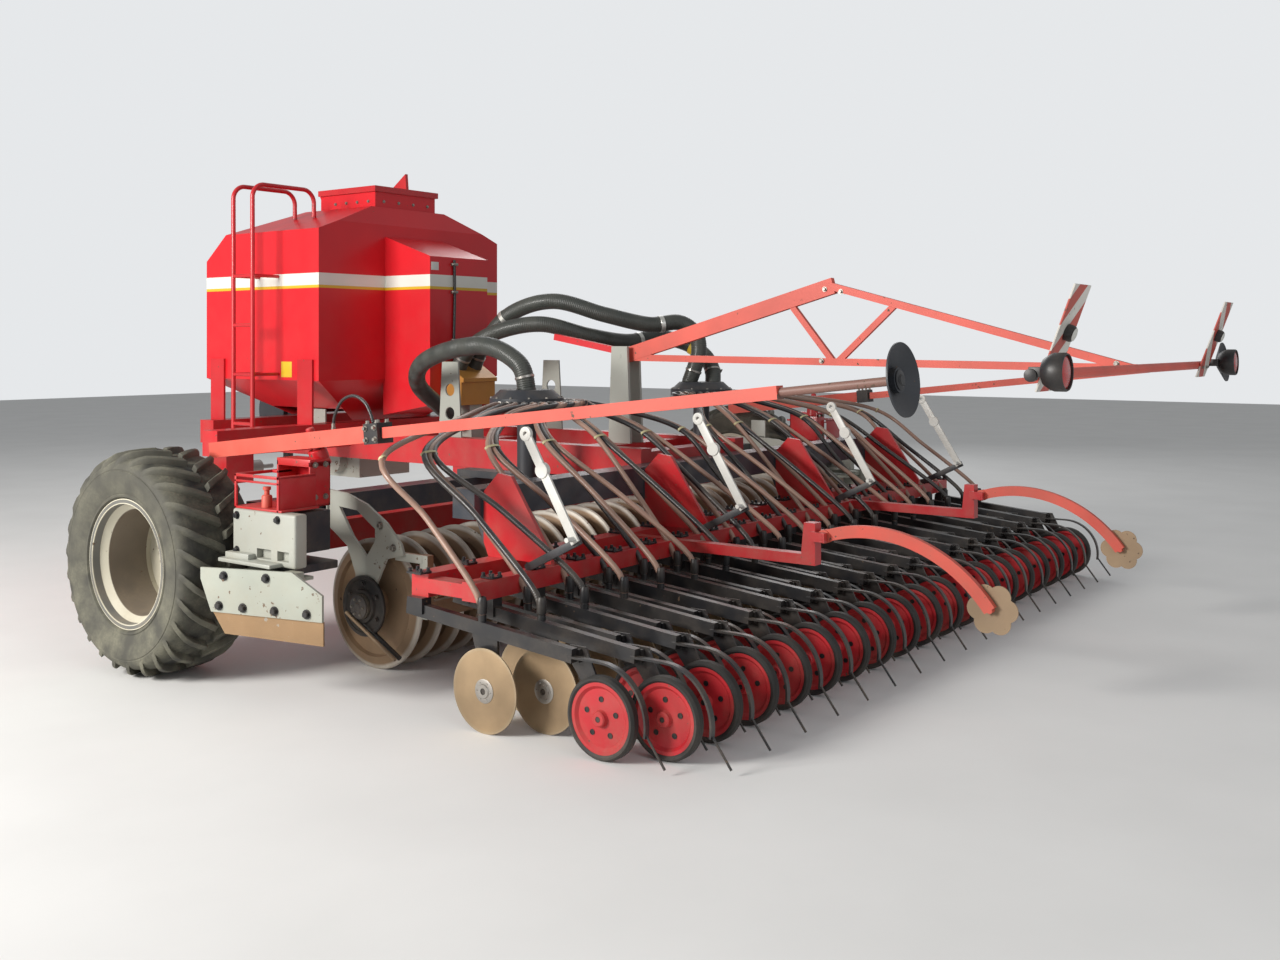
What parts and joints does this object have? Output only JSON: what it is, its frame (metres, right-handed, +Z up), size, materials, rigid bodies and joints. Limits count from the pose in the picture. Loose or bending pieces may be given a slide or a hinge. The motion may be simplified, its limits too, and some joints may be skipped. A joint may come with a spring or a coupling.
{
  "type": "folded seed drill",
  "caption": "Trailed pneumatic seed drill with a hipped hopper, packer roller, rows of disc coulters with press wheels, folded side markers and a rear light truss.",
  "frame": {"origin": "on the ground, midway along the overall length and width", "axes": "+X to the machine's right, +Y in the direction of travel, +Z up"},
  "size_m": [5.86, 7.3999, 2.8103],
  "materials": {
    "red_paint": "semi-gloss red paint, dusty",
    "faded_red_paint": "faded red paint, matt",
    "grey_paint": "warm light grey paint, scuffed",
    "dark_paint": "dark grey paint, dusty",
    "duct_paint": "golden orange, satin",
    "worn_steel": "brown soil polished steel",
    "disc_steel": "tan rust film",
    "ring_steel": "tan soil film with bright edges",
    "bare_steel": "bright worn steel",
    "wheel_paint": "cream paint, dusty",
    "tyre_rubber": "dusty black rubber",
    "press_rubber": "black rubber",
    "black_steel": "black paint",
    "hose_black": "dark grey ribbed hose, satin",
    "hose_pink": "brownish pink hose",
    "board_white": "white with red stripes",
    "lamp_black": "black lamp housing"
  },
  "bodies": {
    "chassis": {"main_frame": "red_paint", "axle_stubs": "dark_paint", "drawbar": "red_paint", "hopper": "red_paint", "hopper_frame_plates": "grey_paint", "metering_box": "grey_paint", "fan": "dark_paint", "air_duct": "duct_paint", "ladder": "red_paint", "roller_frame": "grey_paint", "side_boxes": "grey_paint", "marker_mounts": "red_paint", "levelling_boards": "grey_paint", "board_blades": "worn_steel", "coulter_frame": "red_paint", "lift_arms": "red_paint", "hose_stands": "grey_paint", "coulter_arms_front": "black_steel", "coulter_arms_rear": "black_steel", "mast": "grey_paint", "light_truss": "faded_red_paint", "light_boards": "board_white", "lamps": "lamp_black", "seed_heads": "dark_paint", "main_hoses": "hose_black", "seed_hoses": "hose_pink", "jack_tube": "dark_paint"},
    "wheel_left": {"tyre_left": "tyre_rubber", "rim_left": "wheel_paint"},
    "wheel_right": {"tyre_right": "tyre_rubber", "rim_right": "wheel_paint"},
    "roller": {"roller": "ring_steel"},
    "discs_front": {"discs_front": "disc_steel"},
    "discs_rear": {"discs_rear": "disc_steel"},
    "press_front": {"press_rims_front": "red_paint", "press_tyres_front": "press_rubber"},
    "press_rear": {"press_rims_rear": "red_paint", "press_tyres_rear": "press_rubber"},
    "marker_left": {"marker_arm_left": "faded_red_paint"},
    "marker_right": {"marker_arm_right": "faded_red_paint"},
    "marker_disc_left": {"marker_disc_left": "black_steel"},
    "marker_disc_right": {"marker_disc_right": "black_steel"},
    "tram_left": {"tram_arm_left": "faded_red_paint"},
    "tram_right": {"tram_arm_right": "faded_red_paint"},
    "tram_disc_left": {"tram_disc_left": "disc_steel"},
    "tram_disc_right": {"tram_disc_right": "disc_steel"},
    "hopper_lid": {"lid": "red_paint"},
    "jack": {"jack_leg": "bare_steel"}
  },
  "joints": [
    {"name": "wheel_left_turn", "type": "hinge", "parent": "chassis", "child": "wheel_left", "pos_m": [-2.715, 0.33, 0.545], "axis": [1, 0, 0], "continuous": true},
    {"name": "wheel_right_turn", "type": "hinge", "parent": "chassis", "child": "wheel_right", "pos_m": [2.715, 0.33, 0.545], "axis": [1, 0, 0], "continuous": true},
    {"name": "roller_turn", "type": "hinge", "parent": "chassis", "child": "roller", "pos_m": [0, -0.49, 0.32], "axis": [1, 0, 0], "continuous": true},
    {"name": "discs_front_turn", "type": "hinge", "parent": "chassis", "child": "discs_front", "pos_m": [0, -1.64, 0.175], "axis": [1, 0, 0], "continuous": true},
    {"name": "discs_rear_turn", "type": "hinge", "parent": "chassis", "child": "discs_rear", "pos_m": [0, -1.84, 0.175], "axis": [1, 0, 0], "continuous": true},
    {"name": "press_front_turn", "type": "hinge", "parent": "chassis", "child": "press_front", "pos_m": [0, -2.23, 0.1625], "axis": [1, 0, 0], "continuous": true},
    {"name": "press_rear_turn", "type": "hinge", "parent": "chassis", "child": "press_rear", "pos_m": [0, -2.43, 0.1625], "axis": [1, 0, 0], "continuous": true},
    {"name": "marker_left_fold", "type": "hinge", "parent": "chassis", "child": "marker_left", "pos_m": [-2.44, -0.48, 1.146], "axis": [0.3238, -0.1055, -0.9402], "range_deg": [0, 92]},
    {"name": "marker_right_fold", "type": "hinge", "parent": "chassis", "child": "marker_right", "pos_m": [2.44, -0.48, 1.146], "axis": [0.3238, 0.1055, 0.9402], "range_deg": [0, 92]},
    {"name": "marker_disc_left_turn", "type": "hinge", "parent": "marker_left", "child": "marker_disc_left", "pos_m": [-2.44, -3.40665, 1.47428], "axis": [0, -0.9938, 0.1115], "continuous": true},
    {"name": "marker_disc_right_turn", "type": "hinge", "parent": "marker_right", "child": "marker_disc_right", "pos_m": [2.44, -3.40665, 1.47428], "axis": [0, -0.9938, 0.1115], "continuous": true},
    {"name": "tram_left_lift", "type": "hinge", "parent": "chassis", "child": "tram_left", "pos_m": [-0.994, -2.4, 0.69], "axis": [-1, 0, 0], "range_deg": [0, 60]},
    {"name": "tram_right_lift", "type": "hinge", "parent": "chassis", "child": "tram_right", "pos_m": [0.994, -2.4, 0.69], "axis": [-1, 0, 0], "range_deg": [0, 60]},
    {"name": "tram_disc_left_turn", "type": "hinge", "parent": "tram_left", "child": "tram_disc_left", "pos_m": [-0.994, -3.2, 0.44], "axis": [1, 0, 0], "continuous": true},
    {"name": "tram_disc_right_turn", "type": "hinge", "parent": "tram_right", "child": "tram_disc_right", "pos_m": [0.994, -3.2, 0.44], "axis": [1, 0, 0], "continuous": true},
    {"name": "lid_open", "type": "hinge", "parent": "chassis", "child": "hopper_lid", "pos_m": [0, 2.1, 2.678], "axis": [-1, 0, 0], "range_deg": [0, 105]},
    {"name": "jack_slide", "type": "slide", "parent": "chassis", "child": "jack", "axis": [0, 0, 1], "range_m": [0, 0.25]}
  ]
}
